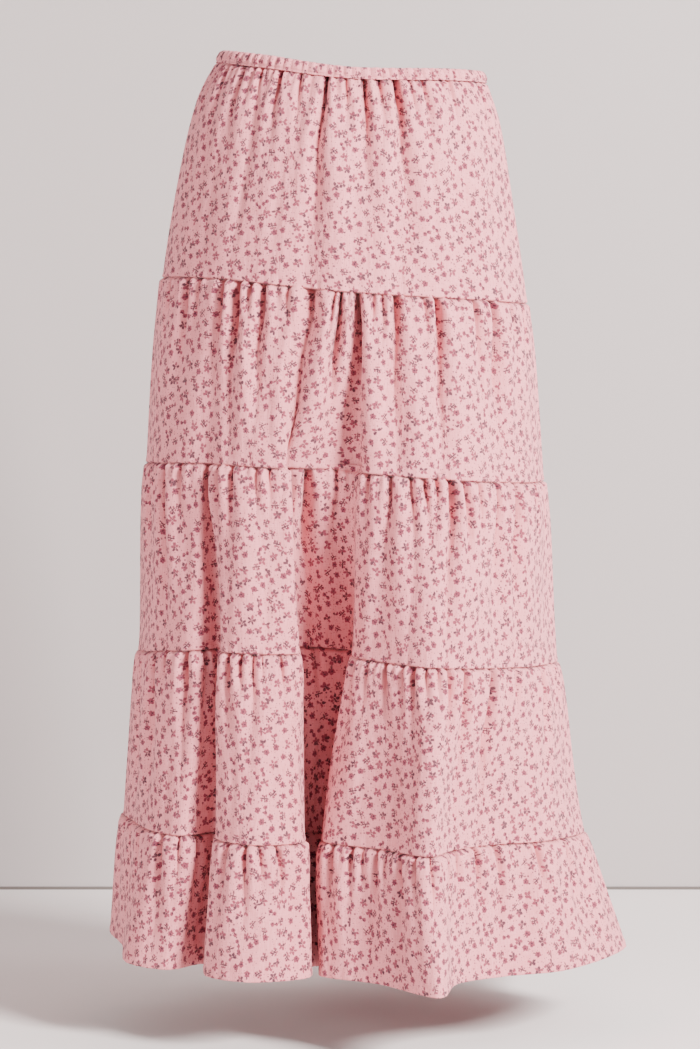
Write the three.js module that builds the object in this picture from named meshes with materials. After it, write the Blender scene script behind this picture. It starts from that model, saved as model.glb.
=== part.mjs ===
// Tiered ruffle skirt: an elastic casing and five gathered tiers, each cut as a back and a front.
// Millimetres, +Z up. The origin is the centre of the waist opening, level with its rim.
// The skirt's back faces -Y. Left and right are as seen from behind, left at -X and right at +X.

import * as THREE from 'three';

// Cloth and seams
const CLOTH_WALL = 1.2;
const CASING_WALL = 3;
const SEAM_GAP = 0.3;
const CLOTH_COLOUR = '#c39c98';
const CLOTH_ROUGHNESS = 0.92;

// Level rings of the skirt. drop is the length of cloth below the rim, left to front are the ring's
// reaches from the axis, and the z columns are its heights at six bearings.
const SECTION_COLUMNS = [
  'name', 'drop', 'left', 'right', 'back', 'front',
  'zLeft', 'zBackLeft', 'zBack', 'zBackRight', 'zRight', 'zFront',
];
const SECTIONS = table(SECTION_COLUMNS, [
  ['rim', 0, 133, 137, 103, 100, 15, 10, -4, -5, -6, -3],
  ['casing foot', 13, 139, 142, 107, 103, 3, -3, -16, -17, -18, -16],
  ['high hip', 52, 159, 155, 124, 114, -36, -42, -55, -56, -56, -55],
  ['low hip', 122, 177, 168, 141, 127, -105, -111, -124, -127, -128, -124],
  ['seam 1', 235, 197, 186, 150, 142, -221, -220, -233, -242, -248, -236],
  ['seam 2', 425, 215, 204, 166, 160, -415, -409, -415, -428, -434, -423],
  ['seam 3', 615, 224, 219, 184, 184, -614, -601, -606, -618, -625, -614],
  ['seam 4', 805, 242, 248, 205, 214, -790, -792, -797, -799, -806, -800],
  ['hem', 940, 257, 293, 235, 242, -917, -928, -929, -931, -928, -930],
]);
const HEIGHT_BEARINGS = [-180, -90, -45, 0, 45, 90, 180];
const HEIGHT_COLUMNS = ['zFront', 'zLeft', 'zBackLeft', 'zBack', 'zBackRight', 'zRight', 'zFront'];

// Fold lines, from the left side seam round the back to the right side seam and back by the front.
// Bearings are in degrees from the back's middle, growing to the right; swells are how far the
// cloth stands out of the plain ring, or in where they are negative.
const FOLD_COLUMNS = [
  'name', 'bearingHip', 'bearingKnee', 'bearingCalf', 'bearingHem',
  'swellTwo', 'swellThree', 'swellFour', 'swellHem',
];
const FOLDS = table(FOLD_COLUMNS, [
  ['left side seam', -93, -94, -95, -95, 0, 0, 0, 0],
  ['left side dip', -75, -77, -77, -76, 0, -4, -9, -11],
  ['left lobe edge', -62, -62, -60, -59, 3, -2, -3, 10],
  ['left lobe', -50, -48, -48, -49, 1, -8, -8, -9],
  ['left valley', -42, -46, -48, -50, -6, -34, -50, -56],
  ['middle lobe left', -36, -37, -37, -37, 3, -8, -16, -14],
  ['middle lobe', -27, -27, -25, -24, 3, -10, -7, -8],
  ['middle lobe right', -17, -17.5, -15, -12, -4, -37, -46, -48],
  ['recess left', -6, -27.5, -23, -16.5, -9, -92, -105, -107],
  ['recess right', 1, -2, -13.5, -10, -28, -108, -117, -111],
  ['right lobe left', 5, 2, -9, -9.2, -5, -42, -60, -60],
  ['right lobe flank', 11, 10, 8, 6, 7, -12, -19, -19],
  ['right ridge', 28, 20, 16, 14, 20, 26, 36, 60],
  ['ridge back', 38, 29, 25, 23, 18, 20, 2, -10],
  ['right dip', 52, 44, 40, 37, 9, 6, -14, -29],
  ['right flank', 66, 60, 56, 53, 3, -1, -6, -15],
  ['right side seam', 91, 90, 90, 90, 0, 0, 0, 0],
  ['front right valley', 112, 112, 111, 110, -3, -10, -20, -30],
  ['front right lobe', 132, 131, 130, 129, 3, 8, 13, 18],
  ['front right dip', 151, 150, 149, 149, -4, -15, -27, -37],
  ['front middle lobe', 170, 172, 172, 171, 4, 10, 17, 22],
  ['front left dip', 190, 192, 193, 194, -5, -18, -32, -42],
  ['front left lobe', 211, 213, 214, 214, 3, 8, 14, 17],
  ['front left valley', 232, 234, 236, 237, -3, -13, -22, -32],
  ['left side lobe', 250, 249, 248, 248, 2, 2, 4, 5],
]);
const RIGHT_SEAM_FOLD = 16;
const BEARING_DROPS = [235, 615, 805, 940];
const SWELL_DROPS = [235, 425, 615, 805, 940];

// Tiers. gathers is the number all round, depth the height of an average gather below its seam,
// and puff how far the cloth stands out just below the seam.
const TIER_COLUMNS = ['name', 'top', 'foot', 'gathers', 'depth', 'puff'];
const TIERS = table(TIER_COLUMNS, [
  ['tier_1', 13, 235, 28, 2.2, 1],
  ['tier_2', 235, 425, 36, 3.6, 3],
  ['tier_3', 425, 615, 36, 4, 4],
  ['tier_4', 615, 805, 36, 4.4, 5],
  ['tier_5', 805, 940, 36, 4.8, 5],
]);
const YOKE_ROWS = [0, 0.07, 0.22, 0.45, 0.75, 1];
const TIER_ROWS = [0, 0.09, 0.33, 0.68, 1];

// A gather's height down its tier, as a share of its depth
const GATHER_FADE_ROWS = [0, 0.09, 0.33, 0.68, 1];
const GATHER_FADE = [0.15, 1, 0.6, 0.28, 0.06];
const GATHER_UNEVENNESS = 0.8;
const GATHER_SHIFT = 0.3;
const GATHER_ROUNDNESS = 0.8;
const COLUMNS_A_GATHER = 4;

// Casing
const CASING_GATHERS = 28;
const CASING_GATHER_DEPTH = 1.4;
const CASING_ROWS = [0, 0.5, 1];
const CASING_BULGE = 0.8;

// Steps in which a ring's length is measured
const LENGTH_SAMPLES = 900;

// Turns rows of values into objects with named columns.
function table(columns, rows) {
  return rows.map((row) => Object.fromEntries(columns.map((column, i) => [column, row[i]])));
}

// A repeatable uneven share between 0 and 1
function uneven(seed) {
  const scattered = Math.sin(seed * 12.9898 + 4.1) * 43758.5453;
  return scattered - Math.floor(scattered);
}

// A smooth curve through values at rising knots, read at one place
function throughKnots(knots, values, place) {
  const last = knots.length - 1;
  let k = 0;
  while (k < last - 1 && place > knots[k + 1]) {
    k += 1;
  }
  const slope = (i) => {
    const before = Math.max(i - 1, 0);
    const after = Math.min(i + 1, last);
    return (values[after] - values[before]) / (knots[after] - knots[before]);
  };
  const span = knots[k + 1] - knots[k];
  const t = THREE.MathUtils.clamp((place - knots[k]) / span, 0, 1);
  const rise = t * t * (3 - 2 * t);
  const start = t * (1 - t) * (1 - t) * slope(k) * span;
  const end = t * t * (1 - t) * slope(k + 1) * span;
  return values[k] * (1 - rise) + values[k + 1] * rise + start - end;
}

function sectionValue(column, drop) {
  const drops = SECTIONS.map((section) => section.drop);
  return throughKnots(drops, SECTIONS.map((section) => section[column]), drop);
}

// The closed ring of cloth at one drop, as a spline through the fold lines
function ring(drop) {
  const left = sectionValue('left', drop);
  const right = sectionValue('right', drop);
  const back = sectionValue('back', drop);
  const front = sectionValue('front', drop);
  const heights = HEIGHT_COLUMNS.map((column) => sectionValue(column, drop));
  const lowerDrop = Math.max(drop, SWELL_DROPS[0]);
  const points = FOLDS.map((fold) => {
    const bearings = [fold.bearingHip, fold.bearingKnee, fold.bearingCalf, fold.bearingHem];
    const swells = [0, fold.swellTwo, fold.swellThree, fold.swellFour, fold.swellHem];
    const bearing = throughKnots(BEARING_DROPS, bearings, lowerDrop);
    const swell = throughKnots(SWELL_DROPS, swells, lowerDrop);
    const angle = THREE.MathUtils.degToRad(bearing);
    const x = Math.sin(angle) * (Math.sin(angle) > 0 ? right : left);
    const y = -Math.cos(angle) * (Math.cos(angle) > 0 ? back : front);
    const grown = 1 + swell / Math.hypot(x, y);
    const around = bearing > 180 ? bearing - 360 : bearing;
    const z = throughKnots(HEIGHT_BEARINGS, heights, around);
    return new THREE.Vector3(x * grown, y * grown, z);
  });
  return new THREE.CatmullRomCurve3(points, true, 'centripetal');
}

// Places on a ring between two fold lines, for shares of the cloth's width at the tier's middle
function widthPlaces(curve, fromFold, toFold, shares) {
  const lengths = [0];
  const place = (i) => (fromFold + ((toFold - fromFold) * i) / LENGTH_SAMPLES) / FOLDS.length;
  for (let i = 1; i <= LENGTH_SAMPLES; i += 1) {
    const step = curve.getPoint(place(i)).distanceTo(curve.getPoint(place(i - 1)));
    lengths.push(lengths[i - 1] + step);
  }
  let i = 0;
  return shares.map((share) => {
    const wanted = share * lengths[LENGTH_SAMPLES];
    while (i < LENGTH_SAMPLES - 1 && lengths[i + 1] < wanted) {
      i += 1;
    }
    return place(i + (wanted - lengths[i]) / (lengths[i + 1] - lengths[i]));
  });
}

// Columns of cloth across a run of gathers: where each stands, and its height in its gather
function gatherColumns(gathers, seed, closed) {
  const edges = [];
  const depths = [];
  for (let g = 0; g <= gathers; g += 1) {
    const inside = closed || (g > 0 && g < gathers);
    const shift = inside ? GATHER_SHIFT * (uneven(seed + (g % gathers)) - 0.5) : 0;
    edges.push((g + shift) / gathers);
    depths.push(1 + GATHER_UNEVENNESS * (uneven(seed + 50 + (g % gathers)) - 0.5));
  }
  const columns = [];
  for (let g = 0; g < gathers; g += 1) {
    for (let c = 0; c < COLUMNS_A_GATHER; c += 1) {
      const across = c / COLUMNS_A_GATHER;
      const wave = 2 * Math.sin(Math.PI * across) ** GATHER_ROUNDNESS - 1;
      const valleyDepth = (depths[g] + depths[(g + gathers - 1) % gathers]) / 2;
      const atSeam = !closed && g === 0 && c === 0;
      const depth = c === 0 ? valleyDepth : depths[g];
      columns.push({
        share: THREE.MathUtils.lerp(edges[g], edges[g + 1], across),
        height: atSeam ? 0 : (wave * depth) / 2,
      });
    }
  }
  if (!closed) {
    columns.push({ share: 1, height: 0 });
  }
  return columns;
}

// A ring's direction to the right and its level way out, at one place
function ringDirections(curve, place) {
  const step = 0.0004;
  const along = curve.getPoint(place + step).sub(curve.getPoint(place - step)).normalize();
  const out = new THREE.Vector3(along.y, -along.x, 0).normalize();
  return { along, out };
}

// The middle surface of a piece: a list of rows, each a list of points
function middleRows(options) {
  const { top, foot, rows, columns, places, depth, puff, endGaps, sideGap } = options;
  return rows.map((row, r) => {
    const curve = ring(THREE.MathUtils.lerp(top, foot, row));
    const fade = throughKnots(GATHER_FADE_ROWS, GATHER_FADE, row);
    // The puff rises steeply below the seam and dies out towards the foot.
    const lift = puff * Math.sin(Math.PI * Math.sqrt(row));
    return columns.map((column, c) => {
      const point = curve.getPoint(places[c]);
      const { along, out } = ringDirections(curve, places[c]);
      point.addScaledVector(out, lift + depth * fade * column.height);
      const side = c === 0 ? sideGap : c === columns.length - 1 ? -sideGap : 0;
      point.addScaledVector(along, side);
      point.z += r === 0 ? -endGaps.top : r === rows.length - 1 ? endGaps.foot : 0;
      return point;
    });
  });
}

// A closed wall of cloth round a middle surface. Its end faces lie level, so that pieces meet
// face to face along a seam.
function clothWall(middle, places, foldCurve, thickness, closed) {
  const rowCount = middle.length;
  const columnCount = middle[0].length;
  const outside = [];
  const inside = [];
  for (let r = 0; r < rowCount; r += 1) {
    for (let c = 0; c < columnCount; c += 1) {
      const before = closed ? (c + columnCount - 1) % columnCount : Math.max(c - 1, 0);
      const after = closed ? (c + 1) % columnCount : Math.min(c + 1, columnCount - 1);
      const along = middle[r][after].clone().sub(middle[r][before]);
      if (!closed && (c === 0 || c === columnCount - 1)) {
        along.copy(ringDirections(foldCurve[r], places[c]).along);
      }
      const down = middle[Math.min(r + 1, rowCount - 1)][c].clone().sub(middle[Math.max(r - 1, 0)][c]);
      const normal = down.cross(along);
      if (r === 0 || r === rowCount - 1) {
        normal.set(along.y, -along.x, 0);
      }
      normal.setLength(thickness / 2);
      outside.push(middle[r][c].clone().add(normal));
      inside.push(middle[r][c].clone().sub(normal));
    }
  }
  const indices = [];
  const insideStart = outside.length;
  const quad = (a, b, c, d) => indices.push(a, b, c, a, c, d);
  const runs = closed ? columnCount : columnCount - 1;
  for (let c = 0; c < runs; c += 1) {
    const next = (c + 1) % columnCount;
    for (let r = 0; r < rowCount - 1; r += 1) {
      const upper = r * columnCount;
      const lower = (r + 1) * columnCount;
      quad(upper + c, lower + c, lower + next, upper + next);
      quad(insideStart + upper + c, insideStart + upper + next, insideStart + lower + next, insideStart + lower + c);
    }
    const foot = (rowCount - 1) * columnCount;
    quad(c, next, insideStart + next, insideStart + c);
    quad(foot + c, insideStart + foot + c, insideStart + foot + next, foot + next);
  }
  if (!closed) {
    const end = columnCount - 1;
    for (let r = 0; r < rowCount - 1; r += 1) {
      const upper = r * columnCount;
      const lower = (r + 1) * columnCount;
      quad(upper, insideStart + upper, insideStart + lower, lower);
      quad(upper + end, lower + end, insideStart + lower + end, insideStart + upper + end);
    }
  }
  const geometry = new THREE.BufferGeometry();
  geometry.setFromPoints([...outside, ...inside]);
  geometry.setIndex(indices);
  geometry.computeVertexNormals();
  return geometry;
}

function clothMaterial() {
  return new THREE.MeshStandardMaterial({ color: CLOTH_COLOUR, roughness: CLOTH_ROUGHNESS, metalness: 0 });
}

// Builds one half of a tier between two fold lines.
function tierPanel(tier, name, fromFold, toFold, seed) {
  const rows = tier.name === 'tier_1' ? YOKE_ROWS : TIER_ROWS;
  const columns = gatherColumns(tier.gathers / 2, seed, false);
  const shares = columns.map((column) => column.share);
  const places = widthPlaces(ring((tier.top + tier.foot) / 2), fromFold, toFold, shares);
  const atHem = tier === TIERS[TIERS.length - 1];
  const middle = middleRows({
    top: tier.top,
    foot: tier.foot,
    rows,
    columns,
    places,
    depth: tier.depth,
    puff: tier.puff,
    endGaps: { top: SEAM_GAP / 2, foot: atHem ? 0 : SEAM_GAP / 2 },
    sideGap: SEAM_GAP / 2,
  });
  const curves = rows.map((row) => ring(THREE.MathUtils.lerp(tier.top, tier.foot, row)));
  const geometry = clothWall(middle, places, curves, CLOTH_WALL, false);
  const mesh = new THREE.Mesh(geometry, clothMaterial());
  mesh.name = `${tier.name}_${name}`;
  return mesh;
}

// Builds the elastic casing, one closed ring of folded cloth with the elastic inside.
function casing() {
  const foot = TIERS[0].top;
  const columns = gatherColumns(CASING_GATHERS, 300, true);
  const shares = columns.map((column) => column.share);
  const places = widthPlaces(ring(foot / 2), 0, FOLDS.length, shares);
  const middle = CASING_ROWS.map((row, r) => {
    const curve = ring(foot * row);
    return columns.map((column, c) => {
      const point = curve.getPoint(places[c]);
      const bulge = CASING_BULGE * Math.sin(Math.PI * row);
      point.addScaledVector(ringDirections(curve, places[c]).out, bulge + CASING_GATHER_DEPTH * column.height);
      point.z += r === CASING_ROWS.length - 1 ? SEAM_GAP / 2 : 0;
      return point;
    });
  });
  const mesh = new THREE.Mesh(clothWall(middle, places, null, CASING_WALL, true), clothMaterial());
  mesh.name = 'waistband';
  return mesh;
}

const skirt = new THREE.Group();
skirt.name = 'tiered_ruffle_skirt';
skirt.add(casing());
TIERS.forEach((tier, t) => {
  skirt.add(tierPanel(tier, 'back', 0, RIGHT_SEAM_FOLD, 100 * t + 7));
  skirt.add(tierPanel(tier, 'front', RIGHT_SEAM_FOLD, FOLDS.length, 100 * t + 57));
});

export default skirt;
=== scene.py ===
import math

import bpy
import numpy as np
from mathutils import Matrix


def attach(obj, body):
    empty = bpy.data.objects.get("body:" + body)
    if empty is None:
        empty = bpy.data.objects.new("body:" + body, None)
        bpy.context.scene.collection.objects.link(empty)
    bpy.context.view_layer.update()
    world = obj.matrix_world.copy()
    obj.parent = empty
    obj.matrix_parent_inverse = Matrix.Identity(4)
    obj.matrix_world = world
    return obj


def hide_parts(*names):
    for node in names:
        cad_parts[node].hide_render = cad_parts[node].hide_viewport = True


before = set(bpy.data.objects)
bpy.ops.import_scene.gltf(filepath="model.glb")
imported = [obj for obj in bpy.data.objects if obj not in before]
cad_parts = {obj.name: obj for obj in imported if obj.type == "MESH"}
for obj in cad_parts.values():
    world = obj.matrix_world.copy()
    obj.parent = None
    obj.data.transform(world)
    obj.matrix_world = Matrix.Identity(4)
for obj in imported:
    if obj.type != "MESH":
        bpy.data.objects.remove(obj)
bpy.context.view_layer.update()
bpy.ops.object.select_all(action="DESELECT")


# Camera. It stands 4.3 m behind the skirt, a little under hip height, and looks slightly down.
CAMERA_DISTANCE = 4.3
CAMERA_HEIGHT = -0.137
CAMERA_PITCH = math.radians(4.57)
LENS_MM = 140.5
SENSOR_MM = 36.0

bpy.ops.object.camera_add(
    location=(0, -CAMERA_DISTANCE, CAMERA_HEIGHT),
    rotation=(math.pi / 2 - CAMERA_PITCH, 0, 0),
)
camera = bpy.context.object
camera.name = "camera"
camera.data.lens = LENS_MM
camera.data.sensor_width = SENSOR_MM
bpy.context.scene.camera = camera


# Elastic casing. A narrow tunnel of the skirt's own cloth with elastic inside, which draws it up
# in fine ruffles. A row of stitches closes the tunnel along its lower edge.

# Lengths of cloth from the rim down to the casing's foot, the four seams below it and the hem,
# in mm
CASING_DEPTH = 13.0
SEAM_ONE = 235
SEAM_TWO = 425
SEAM_THREE = 615
SEAM_FOUR = 805
HEM = 940

# Level rings of the hanging skirt, in mm: length of cloth below the rim, reaches to the left,
# right, back and front, and heights at the left, back left, back, back right, right and front.
RINGS = np.array([
    (0, 133, 137, 103, 100, 15, 10, -4, -5, -6, -3),
    (13, 139, 142, 107, 103, 3, -3, -16, -17, -18, -16),
    (52, 159, 155, 124, 114, -36, -42, -55, -56, -56, -55),
    (122, 177, 168, 141, 127, -105, -111, -124, -127, -128, -124),
    (235, 197, 186, 150, 142, -221, -220, -233, -242, -248, -236),
    (425, 215, 204, 166, 160, -415, -409, -415, -428, -434, -423),
    (615, 224, 219, 184, 184, -614, -601, -606, -618, -625, -614),
    (805, 242, 248, 205, 214, -790, -792, -797, -799, -806, -800),
    (940, 257, 293, 235, 242, -917, -928, -929, -931, -928, -930),
], dtype=float)
HEIGHT_BEARINGS = (-180, -90, -45, 0, 45, 90, 180)

# Fold lines from the left side seam round the back to the right one, and back by the front:
# bearings in degrees at seams one, three and four and the hem, and swells in mm at seams two,
# three and four and the hem.
FOLDS = np.array([
    (-93, -94, -95, -95, 0, 0, 0, 0),
    (-75, -77, -77, -76, 0, -4, -9, -11),
    (-62, -62, -60, -59, 3, -2, -3, 10),
    (-50, -48, -48, -49, 1, -8, -8, -9),
    (-42, -46, -48, -50, -6, -34, -50, -56),
    (-36, -37, -37, -37, 3, -8, -16, -14),
    (-27, -27, -25, -24, 3, -10, -7, -8),
    (-17, -17.5, -15, -12, -4, -37, -46, -48),
    (-6, -27.5, -23, -16.5, -9, -92, -105, -107),
    (1, -2, -13.5, -10, -28, -108, -117, -111),
    (5, 2, -9, -9.2, -5, -42, -60, -60),
    (11, 10, 8, 6, 7, -12, -19, -19),
    (28, 20, 16, 14, 20, 26, 36, 60),
    (38, 29, 25, 23, 18, 20, 2, -10),
    (52, 44, 40, 37, 9, 6, -14, -29),
    (66, 60, 56, 53, 3, -1, -6, -15),
    (91, 90, 90, 90, 0, 0, 0, 0),
    (112, 112, 111, 110, -3, -10, -20, -30),
    (132, 131, 130, 129, 3, 8, 13, 18),
    (151, 150, 149, 149, -4, -15, -27, -37),
    (170, 172, 172, 171, 4, 10, 17, 22),
    (190, 192, 193, 194, -5, -18, -32, -42),
    (211, 213, 214, 214, 3, 8, 14, 17),
    (232, 234, 236, 237, -3, -13, -22, -32),
    (250, 249, 248, 248, 2, 2, 4, 5),
], dtype=float)
RIGHT_SEAM_FOLD = 16
BEARING_DROPS = (SEAM_ONE, SEAM_THREE, SEAM_FOUR, HEM)
SWELL_DROPS = (SEAM_ONE, SEAM_TWO, SEAM_THREE, SEAM_FOUR, HEM)
MM = 0.001


def through_knots(knots, values, place):
    """A smooth curve through values at rising knots, read at one place."""
    last = len(knots) - 1
    k = 0
    while k < last - 1 and place > knots[k + 1]:
        k += 1

    def slope(i):
        before, after = max(i - 1, 0), min(i + 1, last)
        return (values[after] - values[before]) / (knots[after] - knots[before])

    span = knots[k + 1] - knots[k]
    t = min(max((place - knots[k]) / span, 0.0), 1.0)
    rise = t * t * (3 - 2 * t)
    ends = t * (1 - t) ** 2 * slope(k) - t * t * (1 - t) * slope(k + 1)
    return values[k] * (1 - rise) + values[k + 1] * rise + ends * span


def ring_knots(drop):
    """The fold lines' places on the skirt's ring at one drop below the rim, in mm."""
    level = [through_knots(RINGS[:, 0], RINGS[:, c], drop) for c in range(1, 11)]
    left, right, back, front = level[:4]
    heights = [level[9], *level[4:]]
    folds_from = max(drop, SWELL_DROPS[0])
    knots = []
    for fold in FOLDS:
        bearing = through_knots(BEARING_DROPS, fold[:4], folds_from)
        swell = through_knots(SWELL_DROPS, [0, *fold[4:]], folds_from)
        angle = math.radians(bearing)
        x = math.sin(angle) * (right if math.sin(angle) > 0 else left)
        y = -math.cos(angle) * (back if math.cos(angle) > 0 else front)
        grown = 1 + swell / math.hypot(x, y)
        around = bearing - 360 if bearing > 180 else bearing
        knots.append((x * grown, y * grown, through_knots(HEIGHT_BEARINGS, heights, around)))
    return np.array(knots)


def along_ring(knots, places):
    """A closed curve through the knots, read at places counted in knots."""
    places = np.asarray(places, dtype=float)
    first = np.floor(places).astype(int)
    t = (places - first)[:, None]
    p0, p1, p2, p3 = (knots[(first + k) % len(knots)] for k in (-1, 0, 1, 2))
    d0, d1, d2 = (
        np.sqrt(np.linalg.norm(b - a, axis=1))[:, None] for a, b in ((p0, p1), (p1, p2), (p2, p3))
    )
    t1 = ((p1 - p0) / d0 - (p2 - p0) / (d0 + d1) + (p2 - p1) / d1) * d1
    t2 = ((p2 - p1) / d1 - (p3 - p1) / (d1 + d2) + (p3 - p2) / d2) * d1
    bend = -3 * p1 + 3 * p2 - 2 * t1 - t2
    return p1 + t * t1 + t * t * bend + t**3 * (2 * p1 - 2 * p2 + t1 + t2)


def width_places(drop, first_fold, last_fold, shares):
    """Places on the ring for shares of the cloth's width, and its length between the folds."""
    steps = np.linspace(first_fold, last_fold, 2401)
    line = along_ring(ring_knots(drop), steps)
    lengths = np.concatenate([[0], np.cumsum(np.linalg.norm(np.diff(line, axis=0), axis=1))])
    return np.interp(np.asarray(shares) * lengths[-1], lengths, steps), lengths[-1]


def ring_line(drop, places):
    """Points of the ring at one drop, and the level ways out of it there."""
    knots = ring_knots(drop)
    points = along_ring(knots, places)
    ahead = along_ring(knots, places + 0.01) - along_ring(knots, places - 0.01)
    ahead /= np.linalg.norm(ahead, axis=1)[:, None]
    out = np.column_stack([ahead[:, 1], -ahead[:, 0], np.zeros(len(ahead))])
    return points, out / np.linalg.norm(out, axis=1)[:, None]


def uneven(seed):
    """A repeatable uneven share between 0 and 1."""
    scattered = np.sin(np.asarray(seed, dtype=float) * 12.9898 + 4.1) * 43758.5453
    return scattered - np.floor(scattered)


def smooth_step(low, high, value):
    """0 at low and 1 at high, level past both, with a smooth rise between."""
    t = np.clip((value - low) / (high - low), 0, 1)
    return t * t * (3 - 2 * t)


def grid_object(name, points, closed, flat_map):
    """A mesh of quads over rows and columns of points, with the flat cut as its UV map."""
    rows, columns = points.shape[:2]
    runs = columns if closed else columns - 1
    upper = np.arange(rows - 1)[:, None] * columns
    here = np.arange(runs)[None, :]
    after = (here + 1) % columns
    quads = np.stack(
        [upper + here, upper + columns + here, upper + columns + after, upper + after], axis=-1
    ).reshape(-1, 4)
    mesh = bpy.data.meshes.new(name)
    mesh.from_pydata((points.reshape(-1, 3) * MM).tolist(), [], quads.tolist())
    row, column = np.broadcast_arrays(np.arange(rows - 1)[:, None], here)
    corners_u = np.stack([column, column, column + 1, column + 1], axis=-1)
    corners_v = np.stack([row, row + 1, row + 1, row], axis=-1)
    u, v = flat_map
    layer = mesh.uv_layers.new(name="flat cut")
    uv = np.stack([u[corners_u], v[corners_v]], axis=-1) * MM
    layer.data.foreach_set("uv", uv.reshape(-1).astype(np.float32))
    mesh.shade_smooth()
    piece = bpy.data.objects.new(name, mesh)
    bpy.context.collection.objects.link(piece)
    return piece


CASING_RUFFLES = 84
CASING_COLUMNS = 12
CASING_RUFFLE_DEPTH = 2.7
CASING_RUFFLE_RISE = 0.35
CASING_UNEVENNESS = 0.55
CASING_CUT_WIDTH = 1070.0
# The tunnel's section: how far out of the ring, drop, and share of the ruffles' depth
CASING_SECTION = np.array([
    (-0.9, 13.2, 0.3), (0.0, 13.4, 0.4), (0.7, 12.7, 0.6), (1.0, 11.9, 0.5), (0.7, 11.1, 0.25),
    (1.5, 10.2, 0.6), (2.1, 8.8, 0.9), (2.4, 7.0, 1.0), (2.4, 5.0, 1.0), (2.2, 3.2, 0.95),
    (1.8, 1.6, 0.85), (1.1, 0.5, 0.75), (0.2, 0.1, 0.7), (-0.8, 0.5, 0.6), (-1.4, 2.0, 0.5),
    (-1.6, 5.0, 0.4), (-1.6, 9.0, 0.4), (-1.3, 12.2, 0.4),
])


def casing_wave(shares):
    """The ruffles' height round the casing, from -1 in a valley to 1 on a ridge."""
    numbers = np.arange(CASING_RUFFLES + 1)
    edges = numbers + CASING_UNEVENNESS * (uneven(numbers % CASING_RUFFLES) - 0.5)
    edges[-1] = edges[0] + CASING_RUFFLES
    turn = np.interp(shares * CASING_RUFFLES, edges, numbers)
    ruffle = np.floor(turn).astype(int)

    def strength(number):
        return 0.45 + 0.75 * uneven(number % CASING_RUFFLES + 400)

    across = turn - np.floor(turn)
    beside = np.where(across < 0.5, strength(ruffle - 1), strength(ruffle + 1))
    valley = (strength(ruffle) + beside) / 2
    wave = 2 * np.abs(np.sin(np.pi * across)) ** 0.75 - 1
    return wave * np.where(wave > 0, strength(ruffle), valley)


def casing_line(shares, out_by, drop, ruffle_share):
    """A line round the casing, at one place of its section."""
    places, _ = width_places(CASING_DEPTH / 2, 0, len(FOLDS), shares)
    waves = casing_wave(shares)
    points, out = ring_line(drop, places)
    points = points + out * (out_by + CASING_RUFFLE_DEPTH * ruffle_share * waves / 2)[:, None]
    points[:, 2] += CASING_RUFFLE_RISE * ruffle_share * waves * smooth_step(6, 0, drop)
    return points, out


casing_shares = np.arange(CASING_RUFFLES * CASING_COLUMNS) / (CASING_RUFFLES * CASING_COLUMNS)
casing_rows = [casing_line(casing_shares, *place)[0] for place in CASING_SECTION[::-1]]
casing_rows.append(casing_rows[0])
casing_u = np.linspace(0, CASING_CUT_WIDTH, len(casing_shares) + 1)
section_steps = np.diff(np.vstack([CASING_SECTION[::-1, :2], CASING_SECTION[-1:, :2]]), axis=0)
casing_v = np.concatenate([[0], np.cumsum(np.hypot(*section_steps.T))])
waistband = grid_object("elastic_casing", np.array(casing_rows), True, (casing_u, casing_v))


def joined(piece):
    """Merges the piece's doubled points and turns its faces outwards."""
    bpy.ops.object.select_all(action="DESELECT")
    bpy.context.view_layer.objects.active = piece
    piece.select_set(True)
    bpy.ops.object.mode_set(mode="EDIT")
    bpy.ops.mesh.select_all(action="SELECT")
    bpy.ops.mesh.remove_doubles(threshold=1e-6)
    bpy.ops.mesh.normals_make_consistent(inside=False)
    bpy.ops.object.mode_set(mode="OBJECT")
    bpy.ops.object.select_all(action="DESELECT")


joined(waistband)


def add_node(tree, kind, inputs=None, **settings):
    """A shader node with its settings, and its inputs linked or set."""
    node = tree.nodes.new("ShaderNode" + kind)
    for key, value in settings.items():
        setattr(node, key, value)
    for key, value in (inputs or {}).items():
        if isinstance(value, bpy.types.NodeSocket):
            tree.links.new(value, node.inputs[key])
        else:
            node.inputs[key].default_value = value
    return node


def math_node(tree, operation, first, second=0.0, third=0.0):
    """One sum of a shader, as its output socket."""
    return add_node(tree, "Math", {0: first, 1: second, 2: third}, operation=operation).outputs[0]


def vector_node(tree, operation, first, second=(0, 0, 0), output=0, **inputs):
    """One sum of a shader with vectors, as its output socket."""
    sockets = {0: first, 1: second, **inputs}
    return add_node(tree, "VectorMath", sockets, operation=operation).outputs[output]


def ramp_mask(tree, value, low, high):
    """0 below low and 1 above high, smooth between."""
    mapped = add_node(
        tree, "MapRange", {"Value": value, "From Min": low, "From Max": high},
        interpolation_type="SMOOTHSTEP",
    )
    return mapped.outputs["Result"]


# The printed flowers: small posies tossed about the cloth, each with a turn and a kind of its own.
# Places within a posy are in mm from its middle, and specks lie between the posies.
PRINT_SPACING_MM = 12.0
PRINT_JITTER = 0.55
PRINT_SLANT = 0.42
POSY_SCALE = 1.12
SPECK_SPACING_MM = 4.4
BRUSH_WANDER_MM = 1.76
EDGE_INSIDE_MM = 0.16
EDGE_OUTSIDE_MM = 0.34
PETALS = 5
# Each kind of posy's range of chances
FULL_FLOWER = (-0.1, 0.26)
OPEN_FLOWER = (0.26, 0.66)
FLOWER_PAIR = (0.66, 0.73)
FORKED_SPRIG = (0.73, 0.91)
CROSSED_SPRIG = (0.91, 1.1)


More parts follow.
